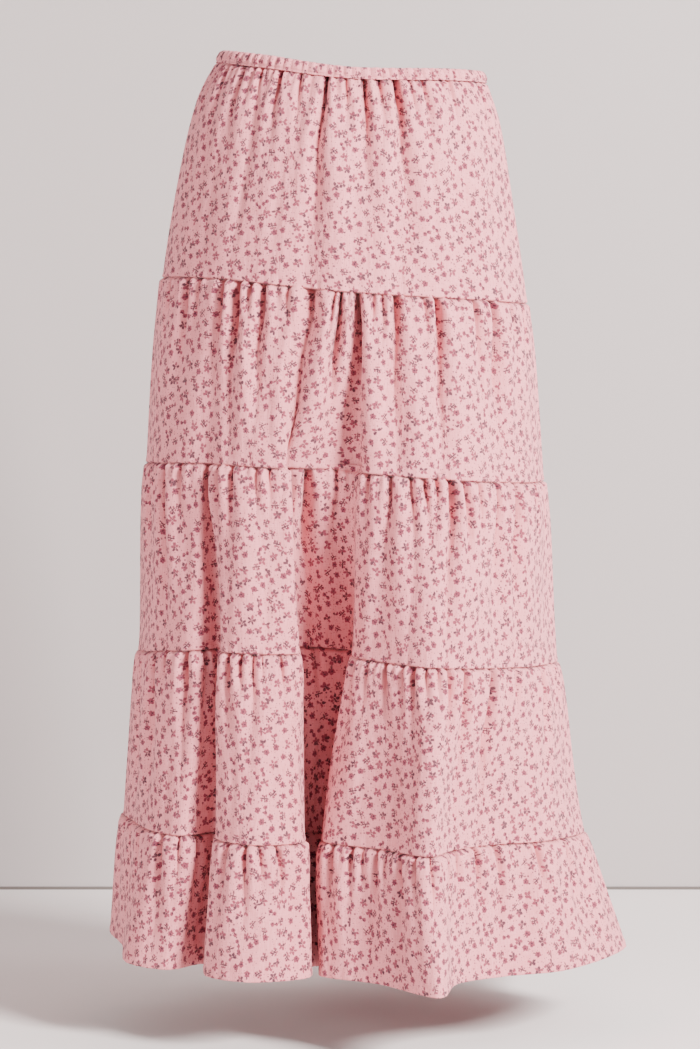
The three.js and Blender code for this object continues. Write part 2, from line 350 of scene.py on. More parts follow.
def new_group(name, inputs, outputs):
    """An empty node group with its named sockets, and its two end nodes."""
    group = bpy.data.node_groups.new(name, "ShaderNodeTree")
    for socket, kind in inputs:
        group.interface.new_socket(socket, in_out="INPUT", socket_type=kind)
    for socket, kind in outputs:
        group.interface.new_socket(socket, in_out="OUTPUT", socket_type=kind)
    return group, group.nodes.new("NodeGroupInput"), group.nodes.new("NodeGroupOutput")


def stroke(tree, place, start, end, half_width):
    """How far a place lies inside a brush stroke from start to end, in mm."""
    run = (end[0] - start[0], end[1] - start[1], 0)
    from_start = vector_node(tree, "SUBTRACT", place, (*start, 0))
    reach = vector_node(tree, "DOT_PRODUCT", from_start, run, output="Value")
    share = add_node(
        tree, "Math", {0: reach, 1: 1 / (run[0] ** 2 + run[1] ** 2)},
        operation="MULTIPLY", use_clamp=True,
    )
    on_line = vector_node(tree, "SCALE", run, Scale=share.outputs[0])
    gap = vector_node(tree, "DISTANCE", from_start, on_line, output="Value")
    return math_node(tree, "SUBTRACT", half_width, gap)


def dab(tree, place, centre, radius):
    """How far a place lies inside a round dab, in mm."""
    gap = vector_node(tree, "DISTANCE", place, (*centre, 0), output="Value")
    return math_node(tree, "SUBTRACT", radius, gap)


def any_of(tree, shapes):
    """Several shapes as one."""
    whole = shapes[0]
    for shape in shapes[1:]:
        whole = math_node(tree, "MAXIMUM", whole, shape)
    return whole


def flower_print_group():
    """Masks of the print's three inks over the flat cut: rose, stem and speck."""
    tree, given, result = new_group(
        "flower print",
        [("Flat Cut", "NodeSocketVector")],
        [("Rose", "NodeSocketFloat"), ("Stem", "NodeSocketFloat"), ("Speck", "NodeSocketFloat")],
    )
    flat_mm = vector_node(tree, "SCALE", given.outputs["Flat Cut"], Scale=1 / MM)
    slanted = add_node(
        tree, "VectorRotate", {"Vector": flat_mm, "Axis": (0, 0, 1), "Angle": PRINT_SLANT},
        rotation_type="AXIS_ANGLE",
    ).outputs[0]
    cells = vector_node(tree, "SCALE", slanted, Scale=1 / PRINT_SPACING_MM)
    motif = add_node(
        tree, "TexVoronoi", {"Vector": cells, "Scale": 1.0, "Randomness": PRINT_JITTER},
        voronoi_dimensions="2D", feature="F1",
    )
    from_centre = vector_node(tree, "SUBTRACT", cells, motif.outputs["Position"])
    local = vector_node(tree, "SCALE", from_centre, Scale=PRINT_SPACING_MM / POSY_SCALE)
    chance = add_node(tree, "SeparateColor", {"Color": motif.outputs["Color"]})
    turn = math_node(tree, "MULTIPLY", chance.outputs["Red"], 2 * math.pi)
    turned = add_node(
        tree, "VectorRotate", {"Vector": local, "Axis": (0, 0, 1), "Angle": turn},
        rotation_type="AXIS_ANGLE",
    ).outputs[0]
    wander = add_node(tree, "TexNoise", {"Vector": flat_mm, "Scale": 0.62, "Detail": 2.0},
                      noise_dimensions="2D").outputs["Color"]
    shift = vector_node(tree, "SCALE", vector_node(tree, "SUBTRACT", wander, (0.5, 0.5, 0.5)),
                        Scale=BRUSH_WANDER_MM)
    place = vector_node(tree, "ADD", turned, shift)
    parts = add_node(tree, "SeparateXYZ", {0: place})
    reach = vector_node(tree, "LENGTH", place, output="Value")
    angle = math_node(tree, "ARCTAN2", parts.outputs["Y"], parts.outputs["X"])

    # Five sectors round the centre, each with chances of its own
    turns = math_node(tree, "MULTIPLY_ADD", angle, PETALS / (2 * math.pi), PETALS / 2)
    sector = math_node(tree, "FLOOR", turns)
    within = math_node(tree, "MULTIPLY", math_node(
        tree, "SUBTRACT", math_node(tree, "SUBTRACT", turns, sector), 0.5), 2 * math.pi / PETALS)
    sector_seed = add_node(tree, "CombineXYZ", {
        "X": sector, "Y": math_node(tree, "MULTIPLY", chance.outputs["Blue"], 91.0)})
    sector_chance = add_node(
        tree, "SeparateColor",
        {"Color": add_node(tree, "TexWhiteNoise", {"Vector": sector_seed.outputs[0]},
                           noise_dimensions="2D").outputs["Color"]})
    petal_out = math_node(tree, "MULTIPLY", reach, math_node(tree, "COSINE", within))
    petal_side = math_node(tree, "MULTIPLY", reach, math_node(tree, "SINE", within))
    petal_middle = math_node(tree, "MULTIPLY_ADD", sector_chance.outputs["Green"], 0.9, 2.1)
    past_middle = math_node(tree, "SUBTRACT", petal_out, petal_middle)
    along_petal = math_node(tree, "DIVIDE", past_middle, 1.7)
    petal_width = math_node(tree, "MULTIPLY_ADD", sector_chance.outputs["Blue"], 0.5, 0.95)
    across_petal = math_node(tree, "DIVIDE", petal_side, petal_width)
    in_petal = add_node(tree, "CombineXYZ", {"X": along_petal, "Y": across_petal}).outputs[0]
    petal_gap = vector_node(tree, "LENGTH", in_petal, output="Value")
    petal = math_node(tree, "SUBTRACT", 1.0, petal_gap)
    dark_petal = math_node(tree, "GREATER_THAN", sector_chance.outputs["Red"], 0.7)
    kept_petal = math_node(tree, "GREATER_THAN", sector_chance.outputs["Red"], 0.1)
    rose_petal = math_node(tree, "SUBTRACT", kept_petal, dark_petal)

    # A full flower with a leaf, a touching pair, a forked sprig and a crossed sprig
    lobes = math_node(tree, "COSINE", math_node(tree, "MULTIPLY", angle, float(PETALS)))
    full = math_node(tree, "SUBTRACT", math_node(tree, "MULTIPLY_ADD", lobes, 0.4, 2.7), reach)
    full_dark = any_of(tree, [dab(tree, place, (0.5, 0.3), 0.75),
                              dab(tree, place, (-1.1, -0.9), 0.5),
                              stroke(tree, place, (2.3, -1.5), (3.5, -2.5), 0.5)])
    pair = any_of(tree, [dab(tree, place, (-1.8, -1.5), 1.75), dab(tree, place, (1.7, 1.6), 1.95)])
    pair_dark = any_of(tree, [dab(tree, place, (1.3, 1.9), 0.6),
                              stroke(tree, place, (-2.2, -1.0), (-0.2, 0.2), 0.45)])
    fork = any_of(tree, [dab(tree, place, (-2.5, 2.0), 1.0), dab(tree, place, (2.3, 1.9), 1.15),
                         dab(tree, place, (1.1, -2.5), 1.0), dab(tree, place, (-2.1, -1.9), 0.85)])
    fork_dark = any_of(tree, [stroke(tree, place, (-3.6, 0.5), (3.3, -0.4), 0.58),
                              stroke(tree, place, (-0.7, -2.3), (0.6, 2.7), 0.5),
                              stroke(tree, place, (1.6, 0.4), (3.1, 1.5), 0.42)])
    crossed = any_of(tree, [dab(tree, place, (3.0, 0.4), 0.95),
                            dab(tree, place, (-0.6, 2.8), 0.95)])
    crossed_dark = any_of(tree, [stroke(tree, place, (-3.2, -2.3), (2.7, 2.4), 0.52),
                                 stroke(tree, place, (-1.4, 1.5), (1.7, -1.4), 0.5),
                                 dab(tree, place, (-2.7, 0.7), 0.6)])
    centre = dab(tree, place, (0.2, 0.1), 0.7)

    kind = chance.outputs["Green"]

    def picked(chances, shape):
        """The shape where the posy's own chance lies in a range, and nothing elsewhere."""
        above = math_node(tree, "GREATER_THAN", kind, chances[0])
        below = math_node(tree, "LESS_THAN", kind, chances[1])
        inside = ramp_mask(tree, shape, -EDGE_OUTSIDE_MM, EDGE_INSIDE_MM)
        return math_node(tree, "MULTIPLY", math_node(tree, "MULTIPLY", above, below), inside)

    open_petal = picked(OPEN_FLOWER, petal)
    open_rose = math_node(tree, "MULTIPLY", open_petal, rose_petal)
    open_dark = math_node(tree, "MULTIPLY", open_petal, dark_petal)
    rose = any_of(tree, [picked(FULL_FLOWER, full), open_rose, picked(FLOWER_PAIR, pair),
                         picked(FORKED_SPRIG, fork), picked(CROSSED_SPRIG, crossed)])
    stem = any_of(tree, [picked(FULL_FLOWER, full_dark), open_dark, picked(OPEN_FLOWER, centre),
                         picked(FLOWER_PAIR, pair_dark), picked(FORKED_SPRIG, fork_dark),
                         picked(CROSSED_SPRIG, crossed_dark)])

    speck_cells = vector_node(tree, "SCALE", flat_mm, Scale=1 / SPECK_SPACING_MM)
    speck = add_node(
        tree, "TexVoronoi", {"Vector": speck_cells, "Scale": 1.0, "Randomness": 1.0},
        voronoi_dimensions="2D", feature="F1",
    )
    speck_gap = math_node(tree, "MULTIPLY", speck.outputs["Distance"], SPECK_SPACING_MM)
    speck_chance = add_node(tree, "SeparateColor", {"Color": speck.outputs["Color"]})
    speck_size = math_node(tree, "MULTIPLY_ADD", math_node(
        tree, "POWER", speck_chance.outputs["Blue"], 4.0), 0.75, 0.4)
    dot = ramp_mask(tree, math_node(tree, "SUBTRACT", speck_size, speck_gap), -0.2, 0.2)
    shown = math_node(tree, "GREATER_THAN", speck_chance.outputs["Red"], 0.35)
    speck_mask = math_node(tree, "MULTIPLY", dot, shown)

    tree.links.new(rose, result.inputs["Rose"])
    tree.links.new(stem, result.inputs["Stem"])
    tree.links.new(speck_mask, result.inputs["Speck"])
    return tree


# The cloth's own surface: a plain weave with thicker and thinner threads, and faint crumples.
THREAD_PITCH_MM = 0.42
WEAVE_RELIEF = 0.07
SLUB_RELIEF = 0.35
CREASE_RELIEF = 4.5
CRUMPLE_RELIEF = 2.4


def plain_weave_group():
    """The cloth's height, and where its threads lie thick, over the flat cut."""
    tree, given, result = new_group(
        "plain weave",
        [("Flat Cut", "NodeSocketVector")],
        [("Height", "NodeSocketFloat"), ("Slub", "NodeSocketFloat")],
    )
    flat_mm = vector_node(tree, "SCALE", given.outputs["Flat Cut"], Scale=1 / MM)
    parts = add_node(tree, "SeparateXYZ", {0: flat_mm})
    turns = 2 * math.pi / THREAD_PITCH_MM
    warp = math_node(tree, "SINE", math_node(tree, "MULTIPLY", parts.outputs["X"], turns))
    weft = math_node(tree, "SINE", math_node(tree, "MULTIPLY", parts.outputs["Y"], turns))
    weave = math_node(tree, "MULTIPLY", warp, weft)
    lengthwise = vector_node(tree, "MULTIPLY", flat_mm, (1.1, 0.09, 0))
    crosswise = vector_node(tree, "MULTIPLY", flat_mm, (0.08, 1.3, 0))
    slub_warp = add_node(tree, "TexNoise", {"Vector": lengthwise, "Scale": 1.0, "Detail": 2.0},
                         noise_dimensions="2D").outputs["Fac"]
    slub_weft = add_node(tree, "TexNoise", {"Vector": crosswise, "Scale": 1.0, "Detail": 2.0},
                         noise_dimensions="2D").outputs["Fac"]
    weft_share = math_node(tree, "MULTIPLY", slub_weft, 0.4)
    slub = math_node(tree, "MULTIPLY_ADD", slub_warp, 0.6, weft_share)
    crumple = add_node(tree, "TexNoise", {"Vector": flat_mm, "Scale": 0.07, "Detail": 3.0},
                       noise_dimensions="2D").outputs["Fac"]
    down_the_cloth = vector_node(tree, "MULTIPLY", flat_mm, (0.095, 0.017, 0))
    crease = add_node(
        tree, "TexNoise",
        {"Vector": down_the_cloth, "Scale": 1.0, "Detail": 2.0, "Distortion": 0.4},
        noise_dimensions="2D",
    ).outputs["Fac"]
    height = math_node(tree, "MULTIPLY", crumple, CRUMPLE_RELIEF)
    for layer, relief in ((crease, CREASE_RELIEF), (slub, SLUB_RELIEF), (weave, WEAVE_RELIEF)):
        height = math_node(tree, "MULTIPLY_ADD", layer, relief, height)
    tree.links.new(height, result.inputs["Height"])
    tree.links.new(slub, result.inputs["Slub"])
    return tree


GROUND = (0.66, 0.235, 0.258, 1)
GROUND_SLUB = (0.59, 0.185, 0.205, 1)
ROSE_INK = (0.175, 0.025, 0.05, 1)
STEM_INK = (0.046, 0.015, 0.026, 1)
SPECK_INK = (0.105, 0.03, 0.047, 1)

printed_cloth = bpy.data.materials.new("printed_cloth")
printed_cloth.use_nodes = True
tree = printed_cloth.node_tree
surface = tree.nodes["Principled BSDF"]
flat_cut = add_node(tree, "UVMap", uv_map="flat cut").outputs["UV"]
flowers = add_node(tree, "Group", node_tree=flower_print_group())
tree.links.new(flat_cut, flowers.inputs["Flat Cut"])
weave = add_node(tree, "Group", node_tree=plain_weave_group())
tree.links.new(flat_cut, weave.inputs["Flat Cut"])
slub_share = ramp_mask(tree, weave.outputs["Slub"], 0.35, 0.65)
ink_patchy = ramp_mask(tree, weave.outputs["Slub"], 0.2, 0.8)


def colour_mix(share, first, second):
    """The first colour turned into the second by a share."""
    node = tree.nodes.new("ShaderNodeMix")
    node.data_type = "RGBA"
    for index, value in ((0, share), (6, first), (7, second)):
        if isinstance(value, bpy.types.NodeSocket):
            tree.links.new(value, node.inputs[index])
        else:
            node.inputs[index].default_value = value
    return node.outputs[2]


def printed(under, ink, mask, strength):
    """Prints one ink over what is under it, thinner where the threads lie low."""
    depth = math_node(tree, "MULTIPLY_ADD", ink_patchy, -0.18, strength)
    return colour_mix(math_node(tree, "MULTIPLY", mask, depth), under, ink)


colour = colour_mix(slub_share, GROUND, GROUND_SLUB)
colour = printed(colour, SPECK_INK, flowers.outputs["Speck"], 0.95)
colour = printed(colour, ROSE_INK, flowers.outputs["Rose"], 0.98)
colour = printed(colour, STEM_INK, flowers.outputs["Stem"], 1.0)
tree.links.new(colour, surface.inputs["Base Color"])
surface.inputs["Roughness"].default_value = 0.88
surface.inputs["Sheen Weight"].default_value = 0.12
surface.inputs["Sheen Roughness"].default_value = 0.5
surface.inputs["Specular IOR Level"].default_value = 0.2
relief = add_node(
    tree, "Bump", {"Strength": 0.55, "Distance": 0.0006, "Height": weave.outputs["Height"]}
)
tree.links.new(relief.outputs["Normal"], surface.inputs["Normal"])

waistband.data.materials.append(printed_cloth)
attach(waistband, "root")
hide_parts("waistband")


def thread_finish(name, colour):
    """Spun thread of one colour, with a faint sheen."""
    material = bpy.data.materials.new(name)
    material.use_nodes = True
    surface = material.node_tree.nodes["Principled BSDF"]
    surface.inputs["Base Color"].default_value = colour
    surface.inputs["Roughness"].default_value = 0.6
    surface.inputs["Sheen Weight"].default_value = 0.3
    return material


THREAD_THICKNESS = 0.5
sewing_thread = thread_finish("sewing_thread", (0.54, 0.165, 0.19, 1))


def level_outs(run):
    """Level ways out of the cloth, square to each step of a run along it."""
    outs = np.column_stack([run[:, 1], -run[:, 0], np.zeros(len(run))])
    return outs / np.linalg.norm(outs, axis=1)[:, None]


def stitch_row(name, starts, ends, outs, thread):
    """A row of stitches as short spindles of thread lying on the cloth, in mm."""
    along = ends - starts
    along = along / np.linalg.norm(along, axis=1)[:, None]
    side = np.cross(along, outs)
    middle = (starts + ends) / 2
    half = THREAD_THICKNESS / 2
    corners = np.stack([
        starts - outs * half, middle + side * half, middle + outs * half, middle - side * half,
        middle - outs * half, ends - outs * half,
    ], axis=1)
    faces = np.array([
        (0, 1, 2), (0, 2, 3), (0, 3, 4), (0, 4, 1), (5, 2, 1), (5, 3, 2), (5, 4, 3), (5, 1, 4),
    ])
    first_corners = np.arange(len(corners)) * corners.shape[1]
    all_faces = (first_corners[:, None, None] + faces).reshape(-1, 3)
    mesh = bpy.data.meshes.new(name)
    mesh.from_pydata((corners.reshape(-1, 3) * MM).tolist(), [], all_faces.tolist())
    mesh.shade_smooth()
    row = bpy.data.objects.new(name, mesh)
    bpy.context.collection.objects.link(row)
    row.data.materials.append(thread)
    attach(row, "root")


CASING_STITCHES = 270
STITCH_SHARE = 0.72
# The stitches' place in the tunnel's section, in the dip above its foot
CASING_STITCH_LINE = (0.9, 11.1, 0.25)
stitch_starts = np.arange(CASING_STITCHES) / CASING_STITCHES
starts, outs = casing_line(stitch_starts, *CASING_STITCH_LINE)
ends, _ = casing_line(stitch_starts + STITCH_SHARE / CASING_STITCHES, *CASING_STITCH_LINE)
stitch_row("casing_stitches", starts, ends, outs, sewing_thread)


# Tiers. Each is a back and a front strip of the printed cloth, joined at the side seams. Its top
# is gathered into the edge above and sewn from inside, so the gathers come out under a crisp line,
# stand out a little, and fade below.
CLOTH_THICKNESS = 0.7
SEAM_TUCK = 3.6
SEAM_ALLOWANCE = 6.2
SEAM_ROLL = 2.8
SIDE_SEAM_DEPTH = 0.7
HEM_TURN = 7.0
HEM_STITCH_UP = 8.0
SLOT_WIDTH = 1.35
TROUGH_STRENGTH = 1.8
SLOT_STRENGTH = 1.4
PUCKER_PITCH = 10
FOOT_PUCKER_PITCH = 13
SOFT_FOLD_SETS = 8
SOFT_FOLD_DEPTH = 2.1
# How far each piece's place on the printed cloth lies from the last one's, across and down
PRINT_SHIFT = (370.0, 53.0)

# The mesh's columns and rows: close at gathers, seams and the hem, and wide between them
FLAT_COLUMN_PITCH = 2.6
GATHER_COLUMN_PITCH = 0.8
FLAT_ROW_PITCH = 5.2
ROWS_ABOVE_SEAM = [-SEAM_ALLOWANCE, -4.4, -2.6, -1.2, -0.3, 0.5]
ROWS_BELOW_SEAM = [1.3, 2.2, 3.3, 4.8, 6.8, 9.4, 12.6, 16.6]
ROWS_UP_FROM_SEAM = [9.0, 6.0, 3.6, 2.0, 1.1, 0.55, 0.2, 0.0]
ROWS_UP_FROM_HEM = [8.6, 7.4, 5.0, 2.6, 1.0, 0.0]


def tier_rows(length, at_hem):
    """Distances below the upper seam of a tier's rows of mesh, close together at its edges."""
    top = ROWS_ABOVE_SEAM + ROWS_BELOW_SEAM
    foot = ROWS_UP_FROM_HEM if at_hem else ROWS_UP_FROM_SEAM
    middle_count = int((length - foot[0] - top[-1]) / FLAT_ROW_PITCH)
    middle = np.linspace(top[-1], length - foot[0], middle_count + 1)[1:-1]
    return np.concatenate([top, middle, length - np.array(foot)])


def gather_troughs(across, below, length, gathers):
    """How far gathers raise the cloth, or sink it where negative, at one distance from their seam.

    Each gather has its place across, depth, length as a share of the tier's, and slant, in mm.
    It is a narrow slot at the seam within a trough that widens as it fades.
    """
    height = np.zeros_like(across)
    for number, (place, depth, reach, slant) in enumerate(gathers):
        run = reach * length
        down = max(1 - below / (1.5 * run), 0) ** 1.2
        slot_down = max(1 - below / (0.9 * run), 0) ** 1.1
        sway_pitch = 14 + 10 * float(uneven(number + 3 * place))
        sway = 1.2 * math.sin(below / sway_pitch) * min(below / 30, 1)
        centre = place + slant * below / run + sway
        width = 2.0 + 0.3 * depth + 0.055 * below
        offset = np.abs(across - centre) / width
        trough = np.exp(-(offset**1.6))
        shoulder = 0.34 * np.exp(-(((offset - 2.0) / 1.1) ** 2))
        slot_width = SLOT_WIDTH * (0.8 + 0.13 * depth) + 0.03 * below
        slot = np.exp(-((np.abs(across - centre) / slot_width) ** 1.7))
        trough_height = TROUGH_STRENGTH * down * (shoulder - 0.85 * trough)
        height += depth * (trough_height - SLOT_STRENGTH * slot_down * slot)
    return height


def spread_gathers(count, width, seed, depth, reach):
    """Uneven gathers over a width: place, depth, length and slant of each."""
    numbers = np.arange(count)
    places = (numbers + 0.5 + 0.7 * (uneven(numbers + seed) - 0.5)) / count * width
    depths = depth * (0.35 + 1.2 * uneven(numbers + seed + 31) ** 1.5)
    reaches = reach * (0.35 + 1.1 * uneven(numbers + seed + 67))
    slants = 9 * (uneven(numbers + seed + 93) - 0.5)
    return list(zip(places, depths, reaches, slants))


class TierHalf:
    """One half of a tier: where any place of its flat cut lies on the hanging skirt."""

    def __init__(self, top, foot, side, cut_width, puff, gathers, seed, at_hem=False):
        self.top, self.foot, self.length = top, foot, foot - top
        self.folds = (0, RIGHT_SEAM_FOLD) if side == "back" else (RIGHT_SEAM_FOLD, len(FOLDS))
        self.cut_width, self.puff, self.seed, self.at_hem = cut_width, puff, seed, at_hem
        self.middle = (top + foot) / 2
        _, width = width_places(self.middle, *self.folds, [0])
        self.ring_width = width
        self.gathers = [(share * width, *rest) for share, *rest in gathers]
        self.puckers = spread_gathers(int(width / PUCKER_PITCH), width, seed + 7, 1.2, 0.14)
        self.foot_puckers = spread_gathers(
            int(width / FOOT_PUCKER_PITCH), width, seed + 19, 0.55, 0.07
        )

    def column_shares(self):
        """Shares of the width for the columns of mesh, closer together in and beside gathers."""
        fine = np.linspace(0, self.ring_width, 6000)
        near = np.zeros_like(fine)
        for place, depth, *_ in self.gathers:
            near = np.maximum(near, np.exp(-(((fine - place) / (3.2 + 0.5 * depth)) ** 4)))
        density = 1 / FLAT_COLUMN_PITCH + near * (1 / GATHER_COLUMN_PITCH - 1 / FLAT_COLUMN_PITCH)
        counted = np.concatenate([[0], np.cumsum((density[1:] + density[:-1]) / 2 * np.diff(fine))])
        columns = int(counted[-1]) + 1
        return np.interp(np.linspace(0, counted[-1], columns), counted, fine) / self.ring_width

    def points(self, shares, below_rows):
        """Rows of points in mm, at shares of the width and distances below the upper seam."""
        places, _ = width_places(self.middle, *self.folds, shares)
        rows = []
        across = shares * self.ring_width
        from_side = np.minimum(across, self.ring_width - across)
        ends = smooth_step(0, 9, from_side)
        side_groove = -SIDE_SEAM_DEPTH * (1 - smooth_step(0, 3, from_side))
        for below in below_rows:
            drop = self.top + below
            ring_drop = min(max(drop, 0), HEM)
            points, out = ring_line(ring_drop, places)
            share = min(max(below / self.length, 0), 1)
            under, up = max(below, 0), max(self.length - below, 0)
            folds = gather_troughs(across, under, self.length, self.gathers + self.puckers)
            folds = folds + self.soft_folds(across, share)
            if not self.at_hem:
                folds = folds + gather_troughs(across, up, self.length, self.foot_puckers)
            folds = folds * float(1 - smooth_step(0.8, SEAM_ALLOWANCE, -below))
            height = self.puff * math.sin(math.pi * math.sqrt(share)) + ends * folds + side_groove
            height = height - SEAM_TUCK * (1 - smooth_step(-0.5, 3.2, below))
            if self.at_hem:
                height = height + self.hem_height(across, up)
            else:
                height = height + 0.5 * math.exp(-(((up - 2.6) / 1.6) ** 2))
                height = height - SEAM_ROLL * (1 - smooth_step(0, 0.9, up))
            points = points + out * height[:, None]
            points[:, 2] -= drop - ring_drop
            rows.append(points)
        return np.array(rows)

    def soft_folds(self, across, share):
        """Broad shallow folds down the middle of the tier, unlike from place to place."""
        height = np.zeros_like(across)
        for number in range(SOFT_FOLD_SETS):
            pitch = 37 + 15 * number + 11 * float(uneven(self.seed + number))
            starts_at = float(uneven(self.seed + number + 40))
            turn = 2 * math.pi * (across / pitch + starts_at + 0.12 * share)
            valley = np.exp(-2.6 * (1 + np.cos(turn)))
            lies_at = 0.2 + 0.7 * float(uneven(self.seed + number + 80))
            height = height - SOFT_FOLD_DEPTH * valley * math.exp(-(((share - lies_at) / 0.5) ** 2))
        return (1.6 + height) * math.sin(math.pi * share) ** 0.6

    def hem_height(self, across, up):
        """The narrow turned hem: thicker below its stitches, pinched at them, a little wavy."""
        turned = 0.35 * (1 - smooth_step(HEM_TURN - 0.5, HEM_TURN + 0.5, np.full_like(across, up)))
        pinch = -0.35 * math.exp(-(((up - HEM_STITCH_UP) / 0.8) ** 2))
        wave = np.sin(across / 2.9 + 2 * np.sin(across / 23))
        return turned + pinch + 0.45 * wave * math.exp(-(((up - 6) / 7) ** 2))


def tier_piece(name, node, half):
    """Makes one half of a tier as a thin sheet, and says what it is cut from and held by."""
    shares = half.column_shares()
    below_rows = tier_rows(half.length, half.at_hem)
    points = half.points(shares, below_rows)
    shown = points[len(ROWS_ABOVE_SEAM):]
    steps = np.linalg.norm(np.diff(shown, axis=1), axis=2).mean(axis=0)
    cut_u = np.concatenate([[0], np.cumsum(steps)])
    across_print, down_print = (shift * half.seed for shift in PRINT_SHIFT)
    piece = grid_object(name, points, False, (cut_u + across_print, below_rows + down_print))
    wall = piece.modifiers.new("cloth", "SOLIDIFY")
    wall.thickness = CLOTH_THICKNESS * MM
    wall.offset = -1
    bpy.context.view_layer.objects.active = piece
    bpy.ops.object.modifier_apply(modifier=wall.name)
    piece.data.materials.append(printed_cloth)
    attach(piece, "root")
    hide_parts(node)


# Dark thread for the seam lines is painted shade: it stands for the shadow in the ditch where each
# tier's foot rolls in over the next.
seam_shadow_thread = thread_finish("seam_shadow_thread", (0.11, 0.032, 0.035, 1))
SEAM_STITCH_PITCH = 2.2
SEAM_STITCH_DROP = 0.5
SEAM_STITCH_SUNK = 0.6
ABOVE_SEAM_ROLL = 1.2


def seam_shadow_stitches(name, half):
    """A row of dark stitches sunk in the ditch below a tier's foot: painted shadow of the seam's
    ditch, drawn as a dark line.
    """
    count = int(half.ring_width / SEAM_STITCH_PITCH)
    line = half.points(np.arange(count + 1) / count, [half.length - ABOVE_SEAM_ROLL])[0]
    line[:, 2] -= ABOVE_SEAM_ROLL + SEAM_STITCH_DROP
    outs = level_outs(np.diff(line, axis=0))
    line_starts = line[:-1] - SEAM_STITCH_SUNK * outs
    line_ends = line[1:] - SEAM_STITCH_SUNK * outs
    stitch_row(name, line_starts, line_ends, outs, seam_shadow_thread)


# Tier one, the hip yoke, a back and a front panel of the printed cloth. It is gathered into the
# casing, with a few long soft pleats below it, and its foot rolls in at the seam below.

# Rows of gathers, here and below: share of the half's width, depth, length as a share of the
# tier's, slant.
YOKE_BACK_GATHERS = [
    (0.040, 1.8, 0.35, 4), (0.095, 2.2, 0.40, 6), (0.151, 2.6, 0.35, 8), (0.214, 3.0, 0.42, 10),
    (0.272, 2.6, 0.30, 8), (0.327, 3.2, 0.38, 6), (0.383, 2.2, 0.28, 4), (0.452, 4.4, 1.30, -16),
    (0.501, 2.0, 0.25, 2), (0.547, 5.0, 0.55, 0), (0.584, 1.8, 0.22, 0), (0.624, 5.4, 0.60, 3),
    (0.659, 1.6, 0.25, 0), (0.693, 2.6, 0.32, 0), (0.773, 1.4, 0.22, -3), (0.890, 1.3, 0.45, 0),
]
YOKE_FRONT_GATHERS = spread_gathers(14, 1, 21, 2.6, 0.4)
yoke_back = TierHalf(CASING_DEPTH, SEAM_ONE, "back", 550, 1.0, YOKE_BACK_GATHERS, 11)
yoke_front = TierHalf(CASING_DEPTH, SEAM_ONE, "front", 520, 1.0, YOKE_FRONT_GATHERS, 12)
tier_piece("tier_one_back", "tier_1_back", yoke_back)
seam_shadow_stitches("seam_stitches_one_back", yoke_back)
tier_piece("tier_one_front", "tier_1_front", yoke_front)
seam_shadow_stitches("seam_stitches_one_front", yoke_front)


# Tier two, the first flounce, a back and a front strip of the printed cloth cut wider than the
# yoke and gathered to its foot. Its gathers are uneven: short ones between long creases that run
# most of the way down.
TWO_BACK_GATHERS = [
    (0.060, 2.4, 0.30, 0), (0.115, 2.2, 0.25, 2), (0.169, 3.3, 0.62, 3), (0.203, 2.4, 0.30, 0),
    (0.254, 3.7, 0.75, 2), (0.289, 5.4, 1.09, 2), (0.317, 2.0, 0.20, 0), (0.342, 4.7, 0.94, -2),
    (0.391, 2.0, 0.25, 0), (0.416, 6.1, 1.59, 2), (0.448, 2.2, 0.35, 0), (0.470, 5.4, 1.16, 8),
    (0.520, 7.6, 1.67, -9), (0.552, 2.4, 0.30, -2), (0.572, 2.4, 0.35, -3), (0.597, 5.0, 1.16, -10),
    (0.647, 2.6, 0.30, 0), (0.672, 5.4, 1.52, -2), (0.755, 3.3, 0.56, 0), (0.802, 5.4, 0.87, -3),
    (0.860, 2.2, 0.30, 0), (0.905, 2.6, 0.40, 0), (0.955, 1.8, 0.25, 0),
]
TWO_FRONT_GATHERS = spread_gathers(18, 1, 23, 3.4, 0.4)
two_back = TierHalf(SEAM_ONE, SEAM_TWO, "back", 655, 3.0, TWO_BACK_GATHERS, 13)
two_front = TierHalf(SEAM_ONE, SEAM_TWO, "front", 575, 3.0, TWO_FRONT_GATHERS, 14)
tier_piece("tier_two_back", "tier_2_back", two_back)
seam_shadow_stitches("seam_stitches_two_back", two_back)
tier_piece("tier_two_front", "tier_2_front", two_front)
seam_shadow_stitches("seam_stitches_two_front", two_front)


# Tier three, a back and a front strip of the printed cloth, wider again and gathered to the foot
# of tier two. The deep fold near the back's middle opens here.
THREE_BACK_GATHERS = [
    (0.045, 2.2, 0.35, 0), (0.089, 3.3, 0.56, 0), (0.139, 5.0, 1.01, 0), (0.175, 2.6, 0.35, 0),
    (0.225, 5.2, 0.87, 2), (0.255, 3.5, 0.50, 0), (0.281, 3.5, 0.50, 0), (0.319, 2.6, 0.30, 0),
    (0.337, 2.0, 0.25, 0), (0.380, 2.6, 0.30, 0), (0.417, 3.3, 0.38, -2), (0.447, 5.9, 0.87, -9),
    (0.483, 3.7, 0.38, 0), (0.540, 2.4, 0.20, 0), (0.576, 2.6, 0.30, 0), (0.616, 3.7, 0.62, -6),
    (0.644, 3.3, 0.50, 6), (0.663, 3.5, 0.38, 6), (0.679, 2.6, 0.30, 0), (0.701, 5.2, 0.87, 2),
    (0.723, 3.7, 0.62, 8), (0.751, 2.8, 0.40, 0), (0.791, 4.0, 0.69, 0), (0.834, 5.4, 0.87, 0),
    (0.898, 2.6, 0.40, 0), (0.950, 2.2, 0.28, 0),
]
THREE_FRONT_GATHERS = spread_gathers(18, 1, 25, 3.6, 0.4)
three_back = TierHalf(SEAM_TWO, SEAM_THREE, "back", 825, 4.0, THREE_BACK_GATHERS, 15)
three_front = TierHalf(SEAM_TWO, SEAM_THREE, "front", 645, 4.0, THREE_FRONT_GATHERS, 16)
tier_piece("tier_three_back", "tier_3_back", three_back)
seam_shadow_stitches("seam_stitches_three_back", three_back)
tier_piece("tier_three_front", "tier_3_front", three_front)
